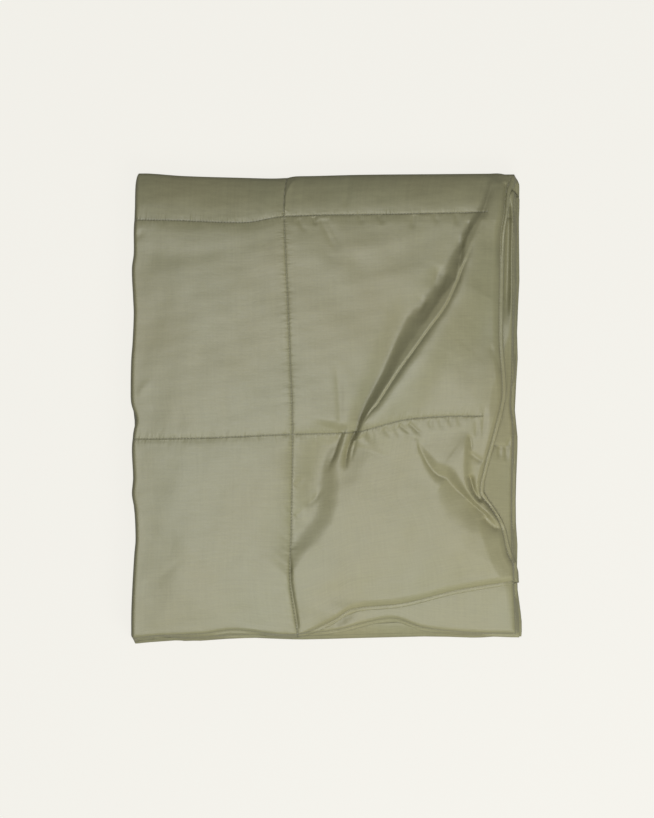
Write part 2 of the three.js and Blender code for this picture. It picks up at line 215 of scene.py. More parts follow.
# Where a panel ends in a slope: its edge, with the low side on the left, then rows of share of
# the edge, width of the slope and its drop, and how far beyond the slope the cloth comes back up
SLOPES = (
    # The left shoulder of the front right panel
    (
        (
            (-53, -261), (-34, -236), (-10, -215), (1, -200), (10, -184), (14, -169), (18, -149), (21, -125),
            (19, -108), (16, -90), (20, -75), (25, -61), (30, -44),
        ),
        (
            (0, 14, 2), (0.12, 26, 6), (0.25, 34, 7.5), (0.37, 34, 8), (0.46, 33, 8.5), (0.56, 34, 9.5),
            (0.67, 36, 9.5), (0.75, 30, 9.5), (0.82, 22, 9.5), (0.9, 18, 8.5), (1, 12, 4),
        ),
        42,
    ),
    # The soft rise beside it below the seam
    (
        ((46, -149), (58, -116), (68, -90), (76, -61), (78, -42)),
        ((0, 30, 0.5), (0.3, 34, 2.5), (0.55, 36, 3.5), (0.8, 36, 4.5), (1, 36, 3.5)),
        46,
    ),
)

# The valley above the dragged corner: its line, and rows of share of it, width of the slope on
# its right, depth of the valley, and width and height of the bank on its left
CORNER_LINE = (
    (152, -64), (157, -75), (163, -87), (170, -98), (178, -107), (186, -112), (196, -116), (204, -125),
    (214, -135), (226, -146), (237, -156), (250, -167), (262, -178), (273, -190), (283, -198),
)
CORNER_ROWS = (
    (0, 5, 1, 8, 0), (0.13, 8, 3.5, 14, 1), (0.27, 12, 4.5, 18, 1.5), (0.37, 22, 6, 20, 2),
    (0.43, 31, 7.5, 17, 2), (0.51, 40, 9, 14, 2), (0.59, 45, 9.5, 11, 1.5), (0.67, 45, 9.5, 8, 1),
    (0.76, 43, 9, 6, 0), (0.85, 40, 7.5, 8, 0), (0.93, 32, 6, 9, 0), (1, 24, 3, 10, 0),
)

# The left bank fades over this reach, and a slope's upper edge is rounded by this much
CORNER_BANK_REACH, SLOPE_ROUNDING = 26, 5

# How far to the side the drag fold, the corner's valley and the slopes are worked out, and over
# which lengths these and the creases run out past their ends
DRAG_REACH, CORNER_REACH, SLOPE_REACH = 230, 120, 150
DRAG_END, CORNER_END, SLOPE_END, CREASE_END = 14, 12, 18, 8

# Creases of the flap: line, depth (ridges are under 0), width to the left and right of the
# line, the shares of the line over which it starts and ends, and how sharp its profile is
CREASES = (
    # On the right of the drag fold, and along its tube
    (((60, -25), (73, -5), (84, 7), (101, 34), (121, 64), (145, 97), (167, 128), (192, 162), (209, 195),
      (222, 228), (236, 261), (247, 295)), 3.2, 1.5, 5, 0.1, 0.25, 1.3),
    # Wrinkles and soft ridges on the bank of the drag fold
    (((227, 283), (222, 266), (220, 250), (216, 228)), 4.5, 3, 7, 0.3, 0.3, 1.5),
    (((198, 228), (193, 210), (186, 195), (180, 180)), 2.4, 4, 9, 0.3, 0.4, 1.5),
    (((186, 236), (181, 215), (181, 197), (185, 184)), 1.5, 7, 10, 0.3, 0.4, 1.6),
    (((166, 180), (157, 165), (149, 150)), 2.4, 4, 9, 0.3, 0.4, 1.6),
    (((235, 308), (232, 294), (229, 279)), 1.8, 3, 5, 0.3, 0.4, 1.5),
    # Soft hollows in front of the back seam
    (((20, 238), (70, 238), (119, 248), (160, 264), (188, 284)), 1.8, 16, 22, 0.2, 0.3, 2),
    (((-298, 248), (-250, 251), (-201, 253), (-144, 259)), 1.3, 14, 18, 0.1, 0.4, 2),
    (((-12, 251), (12, 251), (37, 241)), 0.6, 14, 14, 0.3, 0.3, 2),
    # Down from the front cross seam
    (((26, -41), (19, -59), (14, -75), (7, -90), (1, -106)), 3.5, 3.5, 6, 0.02, 0.5, 1.4),
    (((47, -39), (40, -54), (35, -70), (32, -89), (30, -106)), 6.5, 3.5, 4.5, 0.02, 0.5, 1.4),
    (((50, -46), (44, -70), (39, -92)), 1.6, 3, 3, 0.05, 0.6, 1.5),
    (((57, -44), (73, -61), (93, -71)), 2.4, 9, 10, 0.1, 0.6, 1.8),
    (((-55, -125), (-47, -124), (-38, -116), (-30, -108)), 0.9, 4, 4, 0.2, 0.5, 1.5),
    (((-40, -159), (-30, -157), (-20, -151), (-12, -139), (-6, -128)), 1.3, 4, 4, 0.3, 0.4, 1.5),
    (((-52, -177), (-43, -172), (-35, -162)), 0.8, 4, 4, 0.1, 0.5, 1.6),
    (((119, -28), (130, -36), (142, -48)), 1.8, 4, 4, 0.02, 0.6, 1.4),
    (((135, -25), (147, -36), (160, -49)), 2.0, 4, 4, 0.02, 0.6, 1.4),
    (((94, -33), (101, -41), (109, -52)), 1.4, 4, 4, 0.02, 0.6, 1.4),
    (((109, -30), (116, -39), (122, -54)), 1.2, 4, 3, 0.02, 0.6, 1.4),
    (((73, -34), (76, -46), (76, -61)), 1.2, 4, 3, 0.02, 0.6, 1.4),
    (((144, -48), (147, -64), (150, -82)), -0.9, 3, 3, 0.2, 0.4, 2),
    (((184, -18), (188, -28), (194, -38)), 1.2, 4, 3, 0.02, 0.6, 1.4),
    (((199, -16), (203, -26), (207, -34)), 1.2, 4, 3, 0.02, 0.6, 1.4),
    (((216, -15), (217, -25), (219, -34)), 1.2, 4, 3, 0.02, 0.6, 1.4),
    (((168, -20), (171, -30), (176, -39)), 1.2, 4, 3, 0.02, 0.6, 1.4),
    # The dragged corner: ridge from the seam to the corner, crack behind it, hollows and a lump
    (((227, -34), (226, -51), (225, -84), (226, -116), (231, -136), (240, -151), (250, -162)),
     -5.5, 6, 22, 0.3, 0.2, 1.7),
    (((233, -42), (236, -58), (237, -72)), 1.8, 3, 3, 0.2, 0.3, 1.5),
    (((233, -107), (237, -121), (241, -134), (248, -146), (256, -156)), 8.0, 4.5, 3.5, 0.15, 0.2, 1.6),
    (((232, -72), (243, -80), (258, -90)), 2.2, 5, 5, 0.2, 0.3, 1.8),
    (((178, -93), (191, -98), (206, -103)), 1.4, 4, 4, 0.3, 0.4, 1.6),
    # The long seam gapes in front
    (((-59, -236), (-58, -256), (-57, -289), (-50, -331), (-45, -366)), 4.0, 2, 2, 0.2, 0.15, 1.3),
    # Along the rim of the flap, behind
    (((294, 372), (293, 350), (290, 318), (285, 287), (283, 250), (282, 215)), 3.5, 2.5, 3.5, 0.05, 0.3, 1.5),
    # At the end of the front cross seam, and at the tip of the dragged corner
    (((244, -16), (245, -34), (245, -52)), 1.2, 4, 3, 0.3, 0.4, 1.6),
    (((249, -18), (251, -38), (249, -55)), -0.8, 3, 3, 0.3, 0.4, 1.6),
    (((257, 7), (257, -18), (253, -51)), 1.2, 4, 4, 0.3, 0.4, 1.6),
    (((256, -176), (266, -188), (276, -196), (284, -197)), 2.6, 4, 5, 0.2, 0.15, 1.5),
    (((255, -150), (266, -158), (276, -170), (284, -186)), 1.4, 3, 3, 0.2, 0.2, 1.4),
    # Fine slanting creases in the front left box, and the one above the front seam
    (((-308, -297), (-288, -284), (-266, -271), (-242, -253), (-217, -236)), 0.8, 4, 4, 0.2, 0.35, 1.4),
    (((-306, -308), (-286, -295), (-265, -282), (-248, -269)), 0.5, 4, 4, 0.2, 0.35, 1.4),
    (((-180, -267), (-160, -251), (-139, -233), (-119, -215)), 0.5, 5, 5, 0.3, 0.35, 1.6),
    (((14, 80), (19, 48), (22, 7), (24, -34)), 1.3, 8, 6, 0.35, 0.1, 1.6),
    # Puckers under the back seam
    (((-20, 312), (-19, 305), (-16, 295)), 1.6, 3.5, 3.5, 0.02, 0.5, 1.4),
    (((-9, 308), (-1, 290), (9, 271), (19, 251)), 1.2, 5, 5, 0.02, 0.5, 1.4),
    (((-1, 308), (9, 292), (20, 272), (30, 257)), 0.9, 5, 5, 0.02, 0.5, 1.4),
    (((86, 315), (89, 308), (94, 298)), 1.4, 4, 3, 0.02, 0.5, 1.4),
    (((144, 315), (142, 303), (139, 289)), 1.3, 4, 4, 0.02, 0.5, 1.4),
    (((53, 315), (57, 307), (60, 297)), 1.0, 3, 3, 0.02, 0.5, 1.4),
    (((176, 317), (180, 307), (181, 297)), 1.0, 3, 3, 0.02, 0.5, 1.4),
    (((211, 317), (214, 307), (214, 294)), 1.2, 4, 3, 0.02, 0.5, 1.4),
    (((-45, 308), (-40, 297), (-32, 284)), 1.2, 4, 3, 0.02, 0.5, 1.4),
    (((-132, 305), (-132, 298), (-129, 292)), 1.4, 3, 3, 0.02, 0.5, 1.4),
    # On the roll: the end of the drag fold, a low step and a bright arc beside the seam
    (((255, 307), (259, 326), (266, 348), (272, 369)), 2.5, 7, 6, 0.2, 0.3, 1.7),
    (((34, 379), (34, 356), (32, 335), (30, 320)), 1.4, 5, 4, 0.1, 0.4, 1.6),
    (((-68, 317), (-66, 335), (-65, 351), (-58, 366), (-50, 376)), -1.6, 3, 4, 0.1, 0.1, 1.6),
    # Faint pleats above the front seam
    (((-163, 15), (-163, -15), (-162, -44)), 0.5, 4, 4, 0.4, 0.05, 1.6),
    (((-242, 8), (-240, -18), (-239, -48)), 0.5, 4, 4, 0.4, 0.05, 1.6),
    (((-209, 11), (-207, -18), (-207, -48)), 0.4, 4, 4, 0.4, 0.05, 1.6),
    (((-81, 23), (-81, -10), (-81, -41)), 0.5, 4, 4, 0.4, 0.05, 1.6),
    # At the left fold and the open side
    (((-308, 18), (-298, 31), (-283, 49)), -1.0, 5, 5, 0.2, 0.4, 1.8),
    (((-314, 277), (-306, 282), (-294, 292)), 1.2, 4, 4, 0.05, 0.4, 1.4),
    (((266, 105), (273, 89), (281, 72), (286, 56)), 1.0, 5, 5, 0.2, 0.2, 1.5),
)

# Soft swells: centre, height, radius along and across, turn in degrees
SWELLS = (
    # The puff above the dragged corner, and the corner's tip
    ((196, -84), 1.5, 26, 20, -30),
    ((268, -175), 3.0, 14, 10, -50),
    # The panel on the right of the drag fold
    ((275, 25), 10, 112, 120, 0),
    # The rim of the flap stands off the layer below, on the open side and in front
    ((284, -40), 2.0, 34, 50, -10),
    ((20, -333), 5.0, 30, 20, 10),
)

# Folds of the second layer where it shows, in the same columns as the flap's creases
SECOND_CREASES = (
    # Beside the flap's rim, at the back and further in front
    (((306, 372), (307, 350), (308, 330), (309, 300)), 5.0, 3, 3.5, 0.5, 0.4, 1.6),
    (((303, 120), (302, 60), (300, 20)), 3.0, 6, 6, 0.4, 0.4, 1.6),
    # Puckers at the end of its front cross seam
    (((285, -64), (284, -74), (283, -86)), 2.6, 3, 3, 0.02, 0.6, 1.5),
    (((295, -64), (295, -76), (295, -90)), 2.8, 3, 3, 0.02, 0.6, 1.5),
    (((298, -62), (301, -55), (304, -46)), 2.4, 3, 3, 0.02, 0.6, 1.5),
    # The low ridge's foot in front
    (((4, -367), (17, -353), (32, -339), (50, -333)), 4.0, 8, 8, 0.2, 0.4, 1.6),
)

# Slow unevenness all over: height, wavelength, direction in degrees, start
WAVES = (
    (0.32, 171, 20, 0.3),
    (0.28, 127, 74, 1.9),
    (0.22, 93, 131, 4.2),
    (0.14, 61, 48, 2.6),
    (0.12, 47, 162, 0.8),
    (0.08, 29, 103, 5.1),
)

# Rows of the mesh, as places and steps up to there: outwards from the left fold in the outer and
# inner layers, and from the back fold in the lower and upper layers. Then the steps in the folds
ACROSS_OUTER = ((12, 1), (232, 10), (268, 2), (590, 15), (608, 1), (618, 1))
ACROSS_INNER = ((20, 1), (230, 5), (270, 3), (540, 7), (606, 4), (618, 1))
ALONG_LOWER = ((14, 1), (30, 1), (356, 8), (388, 2), (660, 7), (694, 2), (702, 1))
ALONG_UPPER = ((14, 1), (30, 1), (352, 15), (392, 2), (682, 14), (694, 1), (702, 1))
LEFT_FOLD_STEPS, BACK_FOLD_STEPS = 10, 14

# Where the mesh is made finer: from where in the two folds the flap and the second layer show, and
# from where outwards this layer shows on the open side and in front
FLAP_SHOWS = (18, 26)
SECOND_SHOWS = (8, 30)
SECOND_SIDE, SECOND_FRONT = 560, 600

# The finest parts of that side: behind, and round a place a little in front of its cross seam
BEHIND, BEHIND_END = 594, 280
BY_SEAM, BY_SEAM_PLACE, BY_SEAM_REACH = 584, 8, 26

# How near a fold or crease the mesh is made finer once and twice more, and how far left of the long
# seam it still is. Then the least depth and the greatest width of such a crease
FINE_REACH, FINEST_REACH, FINE_LEFT_OF_SEAM = 20, 7, 16
FINE_CREASE_DEPTH, FINE_CREASE_WIDTH = 1.5, 9


def gentle(share):
    """A share from 0 to 1 that starts and ends gently."""
    held = np.clip(share, 0, 1)
    return held * held * (3 - 2 * held)


def bell(distance, width, sharp=2):
    """1 at no distance, falling to nothing a few widths away, and the more suddenly the sharper."""
    return np.exp(-(np.abs(distance / width) ** sharp))


def mix(start, end, share):
    """A value part of the way from one to another."""
    return start + (end - start) * share


def curve(start, end, leaving, arriving, share):
    """A value on a smooth curve between two others, with its slopes there."""
    squared, cubed = share**2, share**3
    return (
        (2 * cubed - 3 * squared + 1) * start
        + (cubed - 2 * squared + share) * leaving
        + (3 * squared - 2 * cubed) * end
        + (cubed - squared) * arriving
    )


def look_up(rows, at):
    """Values at places on a smooth curve through a table of (place, value) rows."""
    table = np.array(rows, float)
    if table[0, 0] > table[-1, 0]:
        table = table[::-1]
    place, value = table[:, 0], table[:, 1]
    slope = np.gradient(value, place)
    slope[1:-1] = (value[2:] - value[:-2]) / (place[2:] - place[:-2])
    row = np.clip(np.searchsorted(place, at, side="right") - 1, 0, len(place) - 2)
    span = place[row + 1] - place[row]
    share = np.clip((at - place[row]) / span, 0, 1)
    return curve(value[row], value[row + 1], slope[row] * span, slope[row + 1] * span, share)


def columns(rows, at):
    """All columns of a table after its first, at places in its first, on straight lines."""
    table = np.array(sorted(rows), float)
    return [np.interp(at, table[:, 0], column) for column in table.T[1:]]


def plan_place(layer, across, along):
    """Where a piece of a layer lies seen from above: seams and edges follow their tables."""
    back_seam, front_seam = CROSS_SEAMS
    x = mix(-REACH_ACROSS / 2, REACH_ACROSS / 2, across / REACH_ACROSS)
    y = np.zeros_like(x)
    for _ in range(4):
        fold, back = look_up(BACK_FOLD, x), look_up(layer["back"], x)
        middle, front = look_up(layer["middle"], x), look_up(layer["front"], x)
        y = np.where(
            along < back_seam,
            mix(fold, back, along / back_seam),
            np.where(
                along < front_seam,
                mix(back, middle, (along - back_seam) / (front_seam - back_seam)),
                mix(middle, front, (along - front_seam) / (REACH_ALONG - front_seam)),
            ),
        )
        left, seam, side = look_up(LEFT_FOLD, y), look_up(layer["long"], y), look_up(layer["side"], y)
        x = np.where(
            across < LONG_SEAM,
            mix(left, seam, across / LONG_SEAM),
            mix(seam, side, (across - LONG_SEAM) / (REACH_ACROSS - LONG_SEAM)),
        )
    return x, y


def inside_of(layer, x, y):
    """Distance inside the nearest open edge of a layer."""
    return np.minimum(look_up(layer["side"], y) - x, y - look_up(layer["front"], x))


def fullness(layer, x, y):
    """How far the filling has risen from its flat rim: 0 on the rim, 1 where the box is full."""
    (side_rise,), (front_rise,) = columns(layer["side_rise"], y), columns(layer["front_rise"], x)
    from_side = (look_up(layer["side"], y) - x - RIM_WIDTH) / side_rise
    from_front = (y - look_up(layer["front"], x) - RIM_WIDTH) / front_rise
    return 1 - (1 - np.clip(np.minimum(from_side, from_front), 0, 1)) ** 2


def layer_room(layer, x, y, loft):
    """Height that a layer takes up in the stack."""
    return mix(RIM_ROOM, loft, fullness(layer, x, y)) * gentle(1 + inside_of(layer, x, y) / RIM_ROOM)


def seam_draw(distance):
    """How deep a seam draws the two faces together."""
    away = np.clip(np.abs(distance) / SEAM_REACH, 0, 1)
    return (1 - away) ** 3


def sewn(across, along, stop):
    """How far the seams draw the faces together, and their grooves, where the cross seams stop
    the given lengths short of the side."""
    share = gentle((REACH_ACROSS - across - stop) / CROSS_SEAM_FADE)
    draw, groove = np.zeros_like(across), np.zeros_like(across)
    for distance, kept in ((across - LONG_SEAM, 1), *((along - seam, share) for seam in CROSS_SEAMS)):
        draw = np.maximum(draw, seam_draw(distance) * kept)
        groove = np.maximum(groove, bell(distance, GROOVE_WIDTH, GROOVE_SHARPNESS) * kept)
    return draw, groove


def smooth_line(points, count):
    """Points on a smooth curve through a few given ones."""
    rows = np.array(points, float)
    place = np.linspace(0, len(rows) - 1, count)
    row = np.clip(place.astype(int), 0, len(rows) - 2)
    share = (place - row)[:, None]
    before, after = rows[np.maximum(row - 1, 0)], rows[np.minimum(row + 2, len(rows) - 1)]
    return curve(rows[row], rows[row + 1], (rows[row + 1] - before) / 2, (after - rows[row]) / 2, share)


def beside(points, x, y, reach):
    """Which places lie within reach of a line, and for those their distance from it (positive
    to its left), their share along it and how far they lie past its ends."""
    line = smooth_line(points, 4 * len(points))
    low, high = line.min(0) - reach, line.max(0) + reach
    near = (x > low[0]) & (x < high[0]) & (y > low[1]) & (y < high[1])
    px, py = x[near], y[near]
    best = np.full(px.shape, np.inf)
    side, share, past = np.ones(px.shape), np.zeros(px.shape), np.zeros(px.shape)
    piece = np.diff(line, axis=0)
    length = np.hypot(piece[:, 0], piece[:, 1])
    run = np.concatenate([[0], np.cumsum(length)])
    last = len(piece) - 1
    for k in range(last + 1):
        ux, uy = piece[k] / length[k]
        dx, dy = px - line[k, 0], py - line[k, 1]
        way = dx * ux + dy * uy
        held = np.clip(way, 0, length[k])
        distance = np.hypot(dx - held * ux, dy - held * uy)
        closer = distance < best
        best = np.where(closer, distance, best)
        side = np.where(closer, np.where(ux * dy - uy * dx >= 0, 1.0, -1.0), side)
        share = np.where(closer, (run[k] + held) / run[-1], share)
        before = np.maximum(-way, 0) if k == 0 else 0
        after = np.maximum(way - length[k], 0) if k == last else 0
        past = np.where(closer, before + after, past)
    return near, best * side, share, past


def add_creases(height, creases, x, y):
    """Presses a table of creases into a height."""
    for points, depth, left, right, start, stop, sharp in creases:
        near, aside, share, past = beside(points, x, y, 3 * max(left, right) + 4)
        ends = gentle(share / start) * gentle((1 - share) / stop) * bell(past, CREASE_END)
        height[near] -= depth * bell(aside, np.where(aside > 0, left, right), sharp) * ends


def drag_fold(height, x, y):
    """Adds the long drag fold: its valley, its steep bank on the right and the bank's crest."""
    near, aside, share, past = beside(DRAG_LINE, x, y, DRAG_REACH)
    depth, steep, high, bank, top = columns(DRAG_ROWS, share)
    wide = DRAG_VALLEY + DRAG_VALLEY_GAIN * share
    valley = -depth * bell(np.clip(aside, 0, None), wide, DRAG_VALLEY_CURVE)
    way = np.clip(-aside / steep, 0, 1)
    sharp = gentle((share - DRAG_SHARP_START) / DRAG_SHARP_RUN)
    climb = (high + depth) * way * way * mix(2 - way, 1, sharp)
    climb += (top - high) * np.clip((-aside - steep) / (bank - steep), 0, 1)
    beyond = np.clip(-aside - bank, 0, None)
    crest = climb - depth + CREST_RISE * top * (1 - np.exp(-beyond / CREST_RUN))
    ridge = crest * bell(beyond, CREST_REACH)
    height[near] += np.where(aside > 0, valley, ridge) * gentle(1 - past / DRAG_END)


def corner_valley(height, x, y):
    """Adds the valley above the dragged corner."""
    near, aside, share, past = beside(CORNER_LINE, x, y, CORNER_REACH)
    slope, depth, bank, rise = columns(CORNER_ROWS, share)
    down = 1 - np.clip(-aside / slope, 0, 1)
    up = gentle(np.clip(aside / bank, 0, 1))
    left = (-depth + (depth + rise) * up) * bell(np.clip(aside - bank, 0, None), CORNER_BANK_REACH)
    height[near] += np.where(aside < 0, -depth * down**2, left) * gentle(1 - past / CORNER_END)


def add_slopes(height, x, y):
    """Lets the panels end in their slopes."""
    for points, rows, back in SLOPES:
        near, aside, share, past = beside(points, x, y, SLOPE_REACH)
        width, drop = columns(rows, share)
        fall = gentle((aside + SLOPE_ROUNDING) / (width + SLOPE_ROUNDING))
        rest = bell(np.clip(aside - width, 0, None), back)
        height[near] -= drop * fall * rest * gentle(1 - past / SLOPE_END)


def add_swells(height, x, y):
    """Adds the soft swells."""
    for (cx, cy), swell, along, across, turn in SWELLS:
        c, s = math.cos(math.radians(turn)), math.sin(math.radians(turn))
        u = ((x - cx) * c + (y - cy) * s) / along
        v = (-(x - cx) * s + (y - cy) * c) / across
        height += swell * np.exp(-(u * u + v * v))


def flap_relief(x, y):
    """Height of the flap's folds, creases and swells over the way it lies at ease."""
    height = np.zeros_like(x)
    drag_fold(height, x, y)
    corner_valley(height, x, y)
    add_slopes(height, x, y)
    add_creases(height, CREASES, x, y)
    add_swells(height, x, y)
    return height


def unevenness(x, y):
    """Slow, faint waves that a soft cloth always has."""
    height = np.zeros_like(x)
    for swell, wavelength, turn, start in WAVES:
        way = x * math.cos(math.radians(turn)) + y * math.sin(math.radians(turn))
        height += swell * np.sin(2 * math.pi * way / wavelength + start)
    return height


def back_roll(py, px, pz, between):
    """The roll at the back falls to the back, and all layers in it."""
    behind = np.clip((py - look_up(FLAP["back"], px) + ROLL_START) / ROLL_LENGTH, 0, 1) ** ROLL_CURVE
    return np.where(pz > between, between + (pz - between) * (1 - ROLL_FALL * behind), pz)


def edge_sink(px, py):
    """How far the stack sinks at its open edges."""
    sink = np.zeros_like(px)
    for rows, place, inside in (
        (SIDE_SINK, py, look_up(SECOND["side"], py) - px),
        (FRONT_SINK, px, py - look_up(SECOND["front"], px)),
    ):
        depth, reach = columns(rows, place)
        sink = np.maximum(sink, depth * np.clip(1 - inside / reach, 0, 1) ** SINK_CURVE)
    return sink


def side_gutter(px, py):
    """Depth of the gutter beside the flap's rim."""
    gutter = GUTTER_DEPTH * bell(px - look_up(GUTTER, py), GUTTER_WIDTH)
    gutter *= gentle((GUTTER_BACK - py) / GUTTER_BACK_LENGTH)
    return gutter * gentle((py - GUTTER_FRONT) / GUTTER_FRONT_LENGTH)


def cloth_surface(s, t, face, cloth):
    """Points of the folded cloth, in metres. s and t are places on the flat cloth, measured
    across and along it from the folds, and face goes from 1 on its outer to -1 on its inner
    face."""
    loft, gap, ease = cloth.loft / MM, cloth.layer_gap / MM, cloth.flap_ease / MM
    across_turn = np.clip(s / LEFT_FOLD_LENGTH, 0, 1)
    along_turn = np.clip(t / BACK_FOLD_LENGTH, 0, 1)
    across = np.maximum(np.maximum(-s, s - LEFT_FOLD_LENGTH), 0)
    along = np.maximum(np.maximum(-t, t - BACK_FOLD_LENGTH), 0)

    # Which layer each place is in, and where it lies seen from above. A fold blends two layers
    upper = gentle((along_turn - UPPER_START) / (1 - UPPER_START))
    layers = (
        ("bottom", LOWER, (1 - across_turn) * (1 - upper)),
        ("third", LOWER, across_turn * (1 - upper)),
        ("second", SECOND, across_turn * upper),
        ("flap", FLAP, (1 - across_turn) * upper),
    )
    x, y = np.zeros_like(s), np.zeros_like(s)
    for _, layer, weight in layers:
        layer_x, layer_y = plan_place(layer, across, along)
        x += layer_x * weight
        y += layer_y * weight

    # How thick the cloth is there
    full = np.zeros_like(s)
    for _, layer, weight in layers:
        full += mix(RIM_THICKNESS, loft, fullness(layer, x, y)) * weight
    draw, groove = sewn(across, along, np.where(across_turn > 0.5, INNER_SEAM_STOP, CROSS_SEAM_STOP))
    left_angle, back_angle = math.pi * across_turn, math.pi * along_turn
    pinch = 1 - FOLD_PINCH * np.sin(left_angle)
    thick = np.maximum(full * (1 - (1 - SEAM_SHARE) * draw) * pinch, RIM_THICKNESS)
    skin = face * thick / 2

    # The stack's heights: the layers' undersides, and the middle that the back fold turns about
    room = {name: layer_room(layer, x, y, loft) for name, layer, _ in layers}
    from_left = x - look_up(LEFT_FOLD, y)
    from_back = look_up(BACK_FOLD, x) - y
    held = np.minimum(np.minimum(inside_of(FLAP, x, y) + RIM_WIDTH, from_left), from_back)
    eased = ease * gentle(held / FLAP_EASE_REACH)
    third = room["bottom"] + gap
    second = third + room["third"] + MIDDLE_GAP
    flap = second + room["second"] + gap + eased
    top = second + room["second"]
    between = second - MIDDLE_GAP / 2

    # Round both folds
    outer = mix(between - room["bottom"] / 2, flap + room["flap"] / 2 - between, along_turn)
    inner = mix(between - third - room["third"] / 2, second + room["second"] / 2 - between, along_turn)
    radius = (outer - inner) / 2 + skin
    from_gap = (outer + inner) / 2 + radius * np.cos(left_angle)
    middle = MIDDLE_GAP / 2 + loft + gap / 2
    deep = middle + ((loft + gap) / 2 + skin) * np.cos(left_angle)
    px = x - radius * np.sin(left_angle) * LEFT_FOLD_BULGE
    py = y + deep * np.sin(back_angle) * BACK_FOLD_BULGE
    pz = back_roll(py, px, between - from_gap * np.cos(back_angle), between)

    # The open edges sink, and the gutter lies beside the flap's rim
    pz -= edge_sink(px, py) * np.clip(pz / top, 0, 1)
    below = np.clip((top + GUTTER_CEILING - pz) / GUTTER_SOFTNESS, 0, 1)
    pz -= side_gutter(px, py) * np.clip(pz / top, 0, 1) * below

    # The knife edge is rounded a little
    edge = (1 - np.abs(face)) * RIM_ROUND
    px += edge * (across >= REACH_ACROSS - 0.01)
    py -= edge * (along >= REACH_ALONG - 0.01)

    # The flap's folds: its underside stays on the layer below, and its upper face follows
    turned = gentle((along_turn - RELIEF_START) / (RELIEF_FULL - RELIEF_START))
    on_flap = turned * gentle((RELIEF_END - across_turn) / RELIEF_RUN)
    lift = (flap_relief(px, py) + unevenness(px, py)) * on_flap
    under = np.maximum(lift, LEAST_GAP - gap - eased)
    over = np.maximum(lift - GROOVE_DEPTH * groove, under - (thick - THINNEST))
    pz += np.where(face > 0, over, np.where(face < 0, under, (over + under) / 2))

    # The second layer's folds, on the face that shows
    on_second = np.clip(turned - on_flap, 0, 1)
    lift = SECOND_UNEVENNESS * unevenness(px + SECOND_ASIDE, py) - SECOND_GROOVE_DEPTH * groove
    add_creases(lift, SECOND_CREASES, px, py)
    pz += np.where(face < 0, lift, np.maximum(lift, -SECOND_UNDERSIDE)) * on_second
    return np.stack([px, py, np.maximum(pz, 0)], 1) * MM


def stations(first, second, fold_length, fold_steps):
    """Places from one open edge round the fold to the other, from two tables of (reach, steps)."""

    def run(rows):
        places = [0.0]
        for reach, count in rows:
            start = places[-1]
            places += [mix(start, reach, k / count) for k in range(1, count + 1)]
        return places

    return (
        [-place for place in reversed(run(first))]
        + [fold_length * k / fold_steps for k in range(1, fold_steps)]
        + [fold_length + place for place in run(second)]
    )


def fold_distance(x, y):
    """Distance from the nearest fold or crease of the flap that needs a fine mesh."""
    nearest = np.full(x.shape, 1000.0)
    lines = [DRAG_LINE, CORNER_LINE]
    for points, depth, _, right, *_ in CREASES:
        if abs(depth) >= FINE_CREASE_DEPTH and right < FINE_CREASE_WIDTH:
            lines.append(points)
    for points in lines:
        near, aside, _, _ = beside(points, x, y, 2 * FINE_REACH)
        nearest[near] = np.minimum(nearest[near], np.abs(aside))
    return nearest


